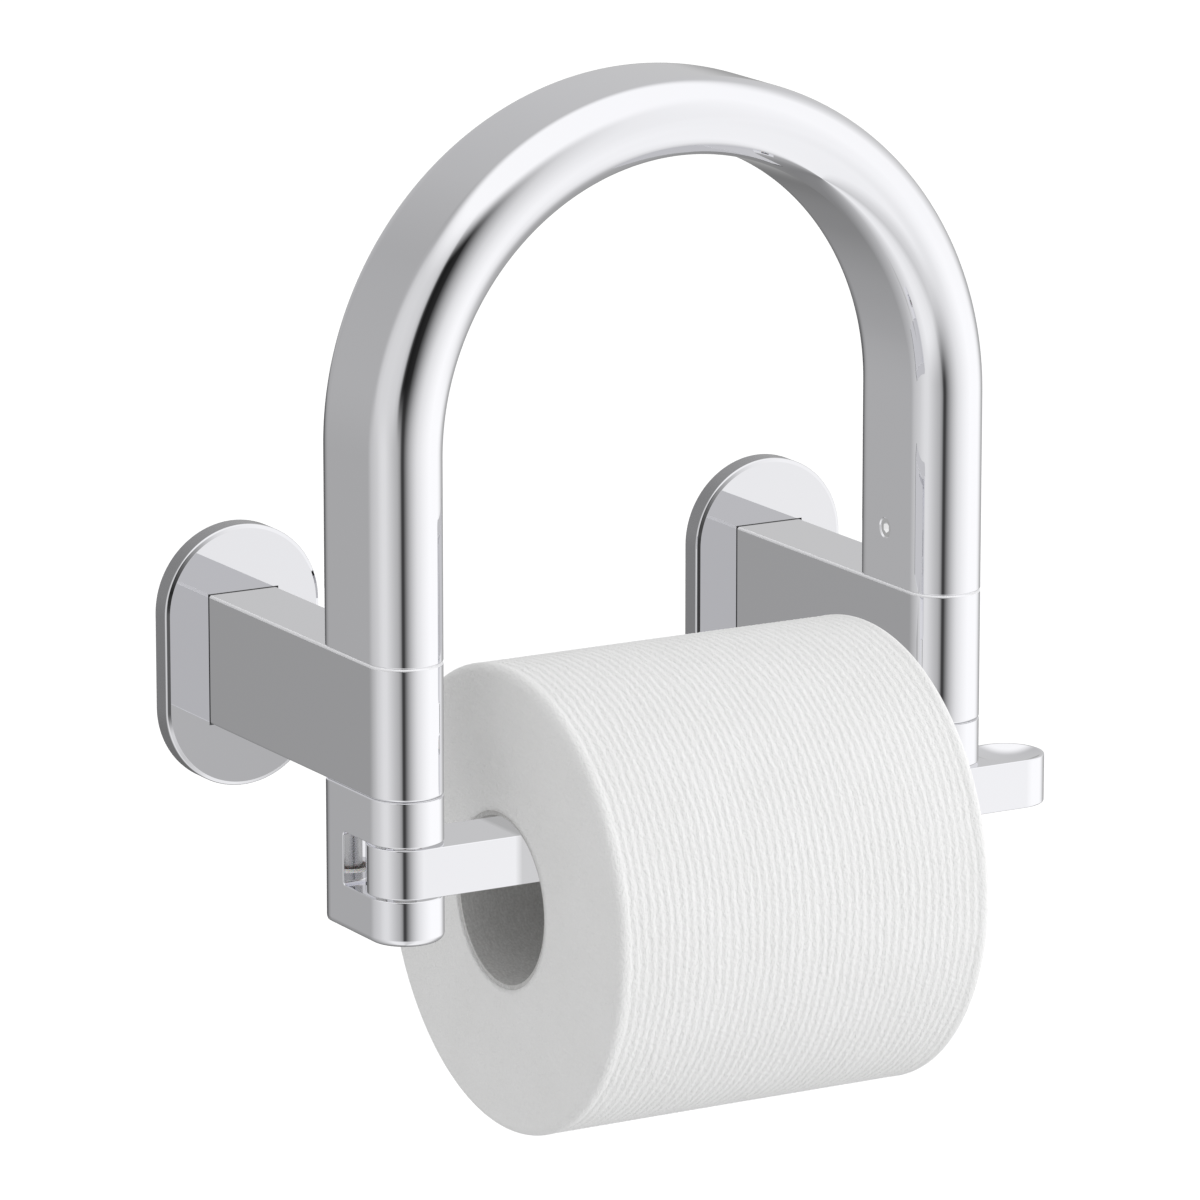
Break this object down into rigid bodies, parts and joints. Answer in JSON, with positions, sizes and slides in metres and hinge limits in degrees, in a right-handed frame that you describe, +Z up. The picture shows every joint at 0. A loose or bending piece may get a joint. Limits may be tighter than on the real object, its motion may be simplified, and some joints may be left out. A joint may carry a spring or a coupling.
{
  "type": "toilet paper holder",
  "caption": "Wall-mounted toilet paper holder: an arched grab loop on two posts, with a flat arm that swings out to take a paper roll.",
  "frame": {"origin": "on the wall plane, at the centre of the four wall screw holes, midway between the two posts and level with their centre lines", "axes": "+X to the right seen from the room, +Y into the wall, +Z up"},
  "size_m": [0.2131, 0.1548, 0.2694],
  "materials": {
    "polished_chrome": "polished",
    "zinc_plate": "satin",
    "steel": "satin",
    "dark_steel": "satin",
    "rubber": "matte",
    "nylon": "satin",
    "cardboard": "matte",
    "tissue": "matte"
  },
  "bodies": {
    "holder": {"left_wall_bracket": "zinc_plate", "right_wall_bracket": "zinc_plate", "left_post": "polished_chrome", "right_post": "polished_chrome", "grab_loop": "polished_chrome", "left_hinge_block": "polished_chrome", "right_rest_block": "polished_chrome", "left_tie_stud": "steel", "right_tie_stud": "steel", "tie_nuts": "steel", "block_dowels": "steel", "loop_set_screws": "dark_steel", "post_set_screws": "dark_steel", "pivot_pin": "steel", "pivot_washers": "nylon", "stop_pin": "steel", "drag_ball": "steel", "drag_spring": "steel", "drag_screw": "dark_steel", "rest_pad": "nylon", "rest_bumper": "rubber"},
    "arm": {"swing_arm": "polished_chrome", "pivot_bush": "nylon"},
    "roll": {"cardboard_core": "cardboard", "paper_roll": "tissue"},
    "left_cover_slider": {"left_cover": "polished_chrome", "left_cover_grip": "rubber"},
    "right_cover_slider": {"right_cover": "polished_chrome", "right_cover_grip": "rubber"}
  },
  "joints": [
    {"name": "arm_swing", "type": "hinge", "parent": "holder", "child": "arm", "pos_m": [-0.08, -0.0938, -0.03625], "axis": [0, 0, -1], "range_deg": [0, 100]},
    {"name": "roll_spin", "type": "hinge", "parent": "arm", "child": "roll", "pos_m": [0.0025, -0.0938, -0.04912], "axis": [1, 0, 0], "continuous": true},
    {"name": "left_cover_slide", "type": "slide", "parent": "holder", "child": "left_cover_slider", "axis": [0, -1, 0], "range_m": [0, 0.024]},
    {"name": "right_cover_slide", "type": "slide", "parent": "holder", "child": "right_cover_slider", "axis": [0, -1, 0], "range_m": [0, 0.024]}
  ]
}
